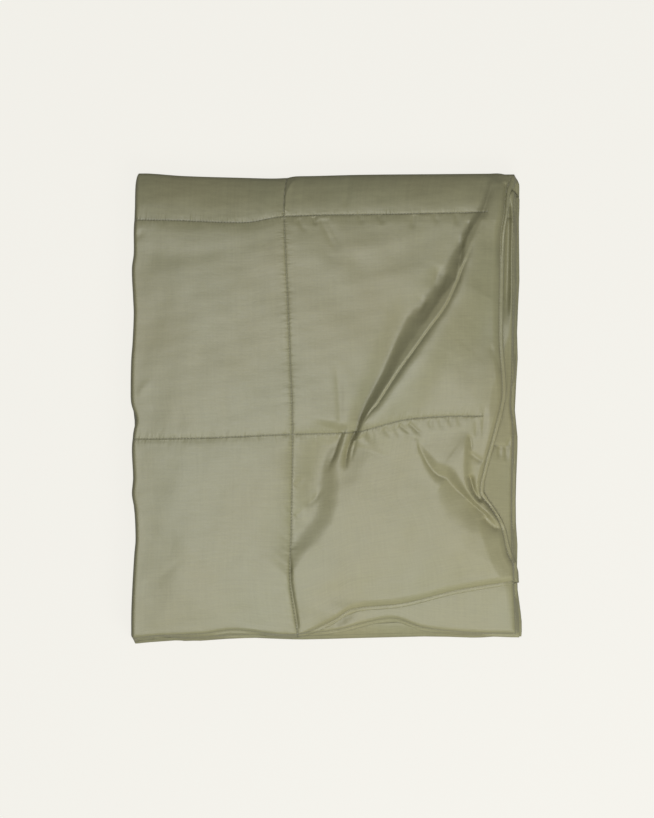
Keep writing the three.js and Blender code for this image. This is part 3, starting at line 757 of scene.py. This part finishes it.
def flat_cloth():
    """The throw before it is folded: two faces one thickness apart, joined at the rim. Its
    vertices hold the place on the flat cloth and the face, and its UV map the place in metres."""
    across = stations(ACROSS_OUTER, ACROSS_INNER, LEFT_FOLD_LENGTH, LEFT_FOLD_STEPS)
    along = stations(ALONG_LOWER, ALONG_UPPER, BACK_FOLD_LENGTH, BACK_FOLD_STEPS)
    bm = bmesh.new()
    bmesh.ops.create_grid(bm, x_segments=len(across) - 1, y_segments=len(along) - 1, size=1)
    for vert in bm.verts:
        column = round((vert.co.x + 1) / 2 * (len(across) - 1))
        row = round((vert.co.y + 1) / 2 * (len(along) - 1))
        vert.co = (across[column], along[row], 1)
    copy = bmesh.ops.duplicate(bm, geom=bm.verts[:] + bm.edges[:] + bm.faces[:])["geom"]
    for vert in (item for item in copy if isinstance(item, bmesh.types.BMVert)):
        vert.co.z = -1
    bmesh.ops.reverse_faces(bm, faces=[item for item in copy if isinstance(item, bmesh.types.BMFace)])
    rim = bmesh.ops.bridge_loops(bm, edges=[edge for edge in bm.edges if edge.is_boundary])
    walls = [edge for edge in rim["edges"] if abs(edge.verts[0].co.z - edge.verts[1].co.z) > 1]
    bmesh.ops.subdivide_edges(bm, edges=walls, cuts=1)

    def refine(wanted):
        """Halves the mesh where an array of places on the cloth and faces of it asks for that."""
        bm.faces.ensure_lookup_table()
        bm.verts.index_update()
        flat = np.array([vert.co for vert in bm.verts])
        asked = wanted(flat[:, 0], flat[:, 1], flat[:, 2])
        edges = set()
        for item in bm.faces:
            if all(asked[vert.index] for vert in item.verts):
                edges.update(item.edges)
        bmesh.ops.subdivide_edges(bm, edges=list(edges), cuts=1, use_grid_fill=True)

    def on_flap(s, t, face):
        return (face > 0.5) & (s < FLAP_SHOWS[0]) & (t > FLAP_SHOWS[1])

    def near_folds(s, t, reach):
        x, y = plan_place(FLAP, np.clip(-s, 0, None), np.clip(t - BACK_FOLD_LENGTH, 0, None))
        return fold_distance(x, y) < reach

    def at_side(s, t, face, reach):
        return (face < -0.5) & (s > LEFT_FOLD_LENGTH + reach) & (t > FLAP_SHOWS[1])

    def open_to_view(s, t, face):
        second = (face < -0.5) & (s > SECOND_SHOWS[0]) & (t > SECOND_SHOWS[1])
        second &= (s > LEFT_FOLD_LENGTH + SECOND_SIDE) | (t > BACK_FOLD_LENGTH + SECOND_FRONT)
        return on_flap(s, t, face) | second

    def along_folds(s, t, face):
        return on_flap(s, t, face) & ((s < FINE_LEFT_OF_SEAM - LONG_SEAM) | near_folds(s, t, FINE_REACH))

    def right_at_folds(s, t, face):
        return on_flap(s, t, face) & near_folds(s, t, FINEST_REACH)

    def behind(s, t, face):
        return at_side(s, t, face, BEHIND) & (t < BACK_FOLD_LENGTH + BEHIND_END)

    def by_seam(s, t, face):
        place = BACK_FOLD_LENGTH + CROSS_SEAMS[1] + BY_SEAM_PLACE
        return at_side(s, t, face, BY_SEAM) & (np.abs(t - place) < BY_SEAM_REACH)

    for wanted in (open_to_view, open_to_view, along_folds, right_at_folds, behind, by_seam):
        refine(wanted)
    bmesh.ops.recalc_face_normals(bm, faces=bm.faces[:])
    layer = bm.loops.layers.uv.new("cloth")
    for item in bm.faces:
        for loop in item.loops:
            loop[layer].uv = (loop.vert.co.x * MM, loop.vert.co.y * MM)
    return bm


def settle_shift(points):
    """How far the folded cloth moves so that it lies where its solid does."""
    middle = (points.min(0) + points.max(0)) / 2
    wanted = (np.array(NODE_BOX[0]) + np.array(NODE_BOX[1])) / 2
    return (wanted - middle) * (1, 1, 0)


def finish_mesh(bm, name, material):
    """Makes an object of a shape, with its faces smooth and its material on it."""
    for item in bm.faces:
        item.smooth = True
    mesh = bpy.data.meshes.new(name)
    bm.to_mesh(mesh)
    bm.free()
    piece = bpy.data.objects.new(name, mesh)
    bpy.context.scene.collection.objects.link(piece)
    mesh.materials.append(material)
    return piece


# Materials


class Amount:
    """A socket of a material: sums on it add their Math nodes."""

    def __init__(self, board, socket):
        self.board = board
        self.socket = socket

    def math(self, operation, *others):
        sockets = dict(enumerate((self, *others)))
        return self.board.node("ShaderNodeMath", {"operation": operation}, sockets)

    def __add__(self, other):
        return self.math("ADD", other)

    def __sub__(self, other):
        return self.math("SUBTRACT", other)

    def __mul__(self, other):
        return self.math("MULTIPLY", other)

    def __abs__(self):
        return self.math("ABSOLUTE")

    __radd__ = __add__
    __rmul__ = __mul__

    def __rsub__(self, other):
        return self.board.node("ShaderNodeMath", {"operation": "SUBTRACT"}, {0: other, 1: self})

    def bell(self, width):
        """1 where the amount is 0, falling to nothing a few widths away from it."""
        spread = self * (1 / width)
        return (spread * spread * -1).math("EXPONENT")

    def held(self):
        return self.board.node("ShaderNodeClamp", {}, {0: self})


class Board:
    """The nodes of one material."""

    def __init__(self, name):
        self.material = bpy.data.materials.new(name)
        self.material.use_nodes = True
        self.tree = self.material.node_tree
        self.shader = self.tree.nodes["Principled BSDF"]

    def node(self, kind, settings, sockets, output=0):
        """Adds a node: its settings first, then the values or links of its sockets."""
        made = self.tree.nodes.new(kind)
        for key, value in settings.items():
            setattr(made, key, value)
        for key, value in sockets.items():
            self.feed(self.pick(made.inputs, key), value)
        return Amount(self, self.pick(made.outputs, output))

    def pick(self, sockets, key):
        usable = [socket for socket in sockets if socket.enabled]
        if isinstance(key, int):
            return usable[key]
        return next(socket for socket in usable if socket.name == key)

    def feed(self, socket, value):
        if isinstance(value, Amount):
            self.tree.links.new(value.socket, socket)
        else:
            socket.default_value = value

    def shade(self, values):
        for key, value in values.items():
            self.feed(self.shader.inputs[key], value)
        return self.material

    def place(self):
        return self.node("ShaderNodeTexCoord", {}, {}, "Object")

    def noise(self, vector, scale, detail):
        """Uneven patches, of one size or, with three scales, longer one way than the other."""
        if isinstance(scale, tuple):
            vector = self.node("ShaderNodeMapping", {}, {"Vector": vector, "Scale": scale})
            scale = 1
        return self.node("ShaderNodeTexNoise", {}, {"Vector": vector, "Scale": scale, "Detail": detail})

    def blend(self, share, first, second, how="MIX"):
        settings = {"data_type": "RGBA", "blend_type": how}
        return self.node("ShaderNodeMix", settings, {"Factor": share, "A": first, "B": second})

    def bump(self, height, strength, distance):
        sockets = {"Strength": strength, "Distance": distance, "Height": height}
        return self.node("ShaderNodeBump", {}, sockets)


def solid(colour, share=1.0):
    """A colour, or a darker share of it, for a socket."""
    return tuple(part * share for part in colour) + (1.0,)


# Widths, in metres, of a seam's line, the topstitching's line, the puckers and short ticks beside
# a seam and the puckers at the rim. Then how much lighter and darker the grain is
SEAM_LINE, TOPSTITCH_LINE = 0.0013, 0.0012
PUCKER, TICK, RIM_PUCKER = 0.013, 0.006, 0.009
GRAIN = 0.11


def sateen(cloth):
    """Olive sateen: fine floats of thread, small puckers beside the seams, a soft sheen, and painted shade
    along the seams, in the stitch holes and along the topstitching.
    """
    board = Board("olive_sateen")
    uv = board.node("ShaderNodeUVMap", {"uv_map": "cloth"}, {})
    u = board.node("ShaderNodeSeparateXYZ", {}, {0: uv}, "X")
    v = board.node("ShaderNodeSeparateXYZ", {}, {0: uv}, "Y")
    place = board.place()

    def woven(across, along, detail):
        """Unevenness from -0.5 to 0.5, so many patches to a metre across and along the cloth."""
        return board.noise(uv, (across, along, 1), detail) - 0.5

    threads, floats = woven(260, 1500, 1), woven(60, 420, 2)
    slubs, warp = woven(16, 330, 3), woven(330, 12, 3)
    soft = board.noise(place, 34, 2)
    patches = board.noise(place, 5.5, 2) - 0.5

    # Distances from the seams and the rim, alike on both sides of a fold
    left, back = LEFT_FOLD_LENGTH / 2 * MM, BACK_FOLD_LENGTH / 2 * MM
    from_left, from_back = abs(u - left) - left, abs(v - back) - back
    from_long = abs(from_left - LONG_SEAM * MM)
    nearer, farther = (abs(from_back - seam * MM) for seam in CROSS_SEAMS)
    past_stop = ((from_left - (REACH_ACROSS - CROSS_SEAM_STOP) * MM) * 400).held()
    from_cross = nearer.math("MINIMUM", farther) + past_stop * 0.05
    to_rim = (REACH_ACROSS * MM - from_left).math("MINIMUM", REACH_ALONG * MM - from_back)
    furrow = from_long.math("MINIMUM", from_cross).bell(SEAM_LINE)
    topstitch = abs(to_rim - TOPSTITCH * MM).bell(TOPSTITCH_LINE)
    # Painted shade in the stitch holes: a dashed mask along each seam, used only to darken the colour below
    stitch_hole_shade = 0
    for distance, way in ((from_long, v), (from_cross, u)):
        stitch_hole_shade = distance.bell(SEAM_LINE) * ((way * (2 * math.pi / STITCH)).math("SINE") * 0.5 + 0.5) + stitch_hole_shade

    puckers = woven(22, 90, 3) * from_long.bell(PUCKER) + woven(90, 22, 3) * from_cross.bell(PUCKER)
    ticks = woven(50, 260, 2) * from_long.bell(TICK) + woven(260, 50, 2) * from_cross.bell(TICK)
    height = (
        threads * 0.06
        + floats * 0.10
        + soft * 0.5
        + puckers * 1.5
        + ticks * 1.3
        + woven(130, 130, 2) * to_rim.bell(RIM_PUCKER) * 0.8
        - furrow * 0.45
        - topstitch * 0.5
    )

    warmer = (patches * 1.6 + 0.5).held()
    colour = board.blend(warmer, solid(cloth.colour_green), solid(cloth.colour_warm))
    grain = (floats * 0.9 + threads * 0.6 + slubs * 0.9 + warp * 0.8 + 0.5).held()
    darker, lighter = (solid((1 + part,) * 3) for part in (-GRAIN, GRAIN))
    colour = board.blend(1, colour, board.blend(grain, darker, lighter), "MULTIPLY")
    # Painted shade: along the seam lines, in the stitch holes and along the topstitching the olive is blended
    # towards a darker copy of itself, standing in for the shade in these grooves
    shade = (furrow * 0.34 + stitch_hole_shade * 0.5 + topstitch * 0.2).held()
    colour = board.blend(shade, colour, solid(cloth.colour_green, 0.55))
    return board.shade(
        {
            "Base Color": colour,
            "Roughness": 0.46 + floats * 0.12 + patches * 0.06,
            "Specular IOR Level": 1.0,
            "Sheen Weight": cloth.sheen,
            "Sheen Roughness": 0.35,
            "Sheen Tint": (1, 0.98, 0.9, 1),
            "Normal": board.bump(height, 1.0, 0.001),
        }
    )


def sewing_thread(thread):
    """Matching polyester thread with its twist."""
    board = Board("sewing_thread")
    twist = board.noise(board.place(), 1400, 1)
    return board.shade(
        {
            "Base Color": board.blend(twist, solid(thread.colour, 0.8), solid(thread.colour)),
            "Roughness": 0.55,
            "Sheen Weight": 0.2,
            "Normal": board.bump(twist, 0.5, 0.0003),
        }
    )


def studio_floor(stage):
    """Pale board, lit from within so that hardly a shadow shows on it."""
    board = Board("pale_floor")
    mottle = board.noise(board.place(), 3, 2)
    glow = stage.floor_glow
    darker, lighter = (solid(stage.floor_colour, share - glow) for share in (0.995, 1))
    return board.shade(
        {
            "Base Color": board.blend(mottle, darker, lighter),
            "Emission Color": solid(stage.floor_colour),
            "Emission Strength": glow,
            "Roughness": 0.9,
            "Specular IOR Level": 0.1,
        }
    )


# Settings


def length_setting(name, description, default, low, high):
    """A length between two limits, all in metres."""
    return bpy.props.FloatProperty(
        name=name, description=description, default=default, min=low, max=high,
        unit="LENGTH", subtype="DISTANCE",
    )


def share_setting(name, description, default, high=1):
    """A share from 0 to 1, or to a lower limit."""
    return bpy.props.FloatProperty(
        name=name, description=description, default=default, min=0, max=high, subtype="FACTOR",
    )


def colour_setting(name, description, default):
    """A colour, as its red, green and blue parts."""
    return bpy.props.FloatVectorProperty(
        name=name, description=description, default=default, min=0, max=1, size=3, subtype="COLOR",
    )


def power_setting(name, description, default):
    """The power of a light, in watts."""
    return bpy.props.FloatProperty(name=name, description=description, default=default, min=0, unit="POWER")


class ThrowCloth(bpy.types.PropertyGroup):
    loft: length_setting("Loft", "Thickness of one layer where its boxes are full", 0.011, 0.006, 0.02)
    layer_gap: length_setting("Layer gap", "Space between two layers", 0.0016, 0.0008, 0.004)
    flap_ease: length_setting("Flap ease", "How loosely the top layer lies on the others", 0.004, 0.001, 0.01)
    sheen: share_setting("Sheen", "Strength of the sateen's soft sheen", 0.1)
    colour_green: colour_setting("Cooler olive", "Colour of the greener patches", (0.238, 0.236, 0.135))
    colour_warm: colour_setting("Warmer olive", "Colour of the warmer patches", (0.262, 0.243, 0.130))


class ThrowThread(bpy.types.PropertyGroup):
    pitch: length_setting("Stitch length", "From one stitch to the next", STITCH, 0.003, 0.01)
    thickness: length_setting("Thread thickness", "Thickness of the sewing thread", 0.0008, 0.0004, 0.002)
    colour: colour_setting("Thread colour", "Colour of the sewing thread", (0.36, 0.34, 0.25))


class ThrowStage(bpy.types.PropertyGroup):
    floor_colour: colour_setting("Floor colour", "Colour of the pale floor", (0.90, 0.885, 0.83))
    floor_glow: share_setting("Floor glow", "Share of the floor's brightness that is its own", 0.94, 0.95)
    front_light: power_setting("Front light", "Power of the softbox in front", 38)
    top_light: power_setting("Top light", "Power of the wide softbox overhead", 58)
    room_light: share_setting("Room light", "Strength of the even light of the room", 0.2)


# Operators


class THROW_OT_cloth(bpy.types.Operator):
    """Fold the quilted cloth and give it its creases and finish"""

    bl_idname = "throw.cloth"
    bl_label = "Quilted Cloth"

    def execute(self, context):
        cloth = context.scene.throw_cloth
        bm = flat_cloth()
        flat = np.array([vert.co for vert in bm.verts], float)
        points = cloth_surface(flat[:, 0], flat[:, 1], flat[:, 2], cloth)
        shift = settle_shift(points)
        for vert, point in zip(bm.verts, points + shift):
            vert.co = point
        piece = finish_mesh(bm, "quilted_cloth", sateen(cloth))
        piece["shift"] = shift.tolist()
        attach(piece, "root")
        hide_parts("quilted_throw")
        return {"FINISHED"}


# Share of its pitch that a stitch shows, and share of the thread's thickness that it stands out
STITCH_SHARE, STITCH_HEIGHT = 0.72, 0.12

# Shares of the back fold where rows of stitches start, on the flap and on the second layer, the
# share of the left fold where they end, and where the cross seams start on the second layer
BACK_START, SECOND_BACK_START, LEFT_END = 0.45, 0.6, 0.4
SECOND_START = 520


def stitch_rows():
    """Rows of stitches on the flat cloth: start, end and face, in millimetres."""
    left, back = LEFT_FOLD_LENGTH, BACK_FOLD_LENGTH
    side, front = left + REACH_ACROSS - TOPSTITCH, back + REACH_ALONG - TOPSTITCH
    flap_start, flap_end, flap_side = back * BACK_START, left * LEFT_END, left - side
    rows = [((-LONG_SEAM, flap_start), (-LONG_SEAM, front), 1)]
    for seam in CROSS_SEAMS:
        along = back + seam
        rows.append(((CROSS_SEAM_STOP - REACH_ACROSS, along), (flap_end, along), 1))
        rows.append(((left + SECOND_START, along), (left + REACH_ACROSS - INNER_SEAM_STOP, along), -1))
    rows.append(((flap_side, flap_start), (flap_side, front), 1))
    rows.append(((flap_side, front), (flap_end, front), 1))
    rows.append(((side, back * SECOND_BACK_START), (side, front), -1))
    rows.append(((left, front), (side, front), -1))
    return rows


class THROW_OT_stitches(bpy.types.Operator):
    """Sew the stitches along the seams and round the rim"""

    bl_idname = "throw.stitches"
    bl_label = "Stitches"

    def execute(self, context):
        cloth, thread = context.scene.throw_cloth, context.scene.throw_thread
        piece = bpy.data.objects["quilted_cloth"]
        shift = np.array(piece["shift"])
        pitch = thread.pitch / MM
        places, ways, faces = [], [], []
        for start, end, face in stitch_rows():
            start, end = np.array(start, float), np.array(end, float)
            length = np.linalg.norm(end - start)
            count = max(int(length / pitch), 1)
            share = (np.arange(count) + 0.5) / count
            places.append(start + (end - start) * share[:, None])
            ways.append(np.repeat([(end - start) / length], count, 0))
            faces.append(np.full(count, float(face)))
        places, ways, faces = np.concatenate(places), np.concatenate(ways), np.concatenate(faces)
        reach = pitch * STITCH_SHARE / 2

        def at(offset):
            spot = places + offset
            return cloth_surface(spot[:, 0], spot[:, 1], faces, cloth) + shift

        middle, ahead, behind = at(0), at(ways * reach), at(-ways * reach)
        across = np.stack([-ways[:, 1], ways[:, 0]], 1)
        aside = at(across) - at(-across)
        bm = bmesh.new()
        for k in range(len(places)):
            along = Vector(ahead[k] - behind[k])
            up = along.cross(Vector(aside[k])).normalized() * float(np.sign(faces[k]))
            length = along.length
            along.normalize()
            turn = Matrix((along, up.cross(along), up)).transposed().to_4x4()
            spot = Matrix.Translation(Vector(middle[k]) + up * thread.thickness * STITCH_HEIGHT)
            size = Matrix.Diagonal((length / 2, thread.thickness / 2, thread.thickness / 2, 1))
            bmesh.ops.create_icosphere(bm, subdivisions=1, radius=1, matrix=spot @ turn @ size)
        bmesh.ops.recalc_face_normals(bm, faces=bm.faces[:])
        stitches = finish_mesh(bm, "seam_stitches", sewing_thread(thread))
        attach(stitches, "root")
        return {"FINISHED"}


# The floor, in metres: its reach each way, and how far it lies under the throw
FLOOR_REACH, FLOOR_DROP = 30, 0.0003

# The camera's film and lens, in millimetres, and the height that it frames, in metres
FILM_HEIGHT, LENS = 24, 70
FRAMED_HEIGHT = 0.03


class THROW_OT_stage(bpy.types.Operator):
    """Lay out the floor, the soft lights and the camera straight above"""

    bl_idname = "throw.stage"
    bl_label = "Stage"

    def execute(self, context):
        scene, stage = context.scene, context.scene.throw_stage
        bm = bmesh.new()
        under = Matrix.Translation((0, 0, -FLOOR_DROP))
        bmesh.ops.create_grid(bm, x_segments=8, y_segments=8, size=FLOOR_REACH, matrix=under)
        floor = finish_mesh(bm, "floor", studio_floor(stage))
        floor.visible_diffuse = False
        floor.visible_glossy = False

        def softbox(name, power, size, spot, mirrored):
            light = bpy.data.lights.new(name, "AREA")
            light.shape = "SQUARE"
            light.size = size
            light.energy = power
            lamp = bpy.data.objects.new(name, light)
            lamp.location = spot
            lamp.rotation_euler = Vector(spot).to_track_quat("Z", "Y").to_euler()
            lamp.visible_glossy = mirrored
            scene.collection.objects.link(lamp)

        softbox("front_light", stage.front_light, 1.3, (0.9, -1.45, 1.55), False)
        softbox("top_light", stage.top_light, 1.9, (-0.25, -0.42, 4.0), True)

        world = bpy.data.worlds.new("room")
        world.use_nodes = True
        sky = world.node_tree.nodes["Background"].inputs
        sky["Color"].default_value = (1, 0.995, 0.98, 1)
        sky["Strength"].default_value = stage.room_light
        scene.world = world
        scene.view_settings.view_transform = "Standard"

        camera = bpy.data.cameras.new("camera")
        camera.sensor_fit = "VERTICAL"
        camera.sensor_height = FILM_HEIGHT
        camera.lens = LENS
        eye = bpy.data.objects.new("camera", camera)
        eye.location = (0, 0, FRAME_HIGH * PIXEL * LENS / FILM_HEIGHT + FRAMED_HEIGHT)
        scene.collection.objects.link(eye)
        scene.camera = eye
        return {"FINISHED"}


class THROW_PT_panel(bpy.types.Panel):
    bl_label = "Quilted Throw"
    bl_idname = "THROW_PT_panel"
    bl_space_type = "VIEW_3D"
    bl_region_type = "UI"
    bl_category = "Throw"

    def draw(self, context):
        scene = context.scene
        for settings, operator in (
            (scene.throw_cloth, "throw.cloth"),
            (scene.throw_thread, "throw.stitches"),
            (scene.throw_stage, "throw.stage"),
        ):
            box = self.layout.box()
            for name in settings.bl_rna.properties.keys():
                if name not in {"rna_type", "name"}:
                    box.prop(settings, name)
            box.operator(operator)


SETTINGS = {"throw_cloth": ThrowCloth, "throw_thread": ThrowThread, "throw_stage": ThrowStage}
CLASSES = (*SETTINGS.values(), THROW_OT_cloth, THROW_OT_stitches, THROW_OT_stage, THROW_PT_panel)


def register():
    for item in CLASSES:
        bpy.utils.register_class(item)
    for name, settings in SETTINGS.items():
        setattr(bpy.types.Scene, name, bpy.props.PointerProperty(type=settings))


def unregister():
    for name in SETTINGS:
        delattr(bpy.types.Scene, name)
    for item in reversed(CLASSES):
        bpy.utils.unregister_class(item)


def main():
    register()
    bpy.ops.throw.cloth()
    bpy.ops.throw.stitches()
    bpy.ops.throw.stage()


if __name__ == "__main__":
    main()
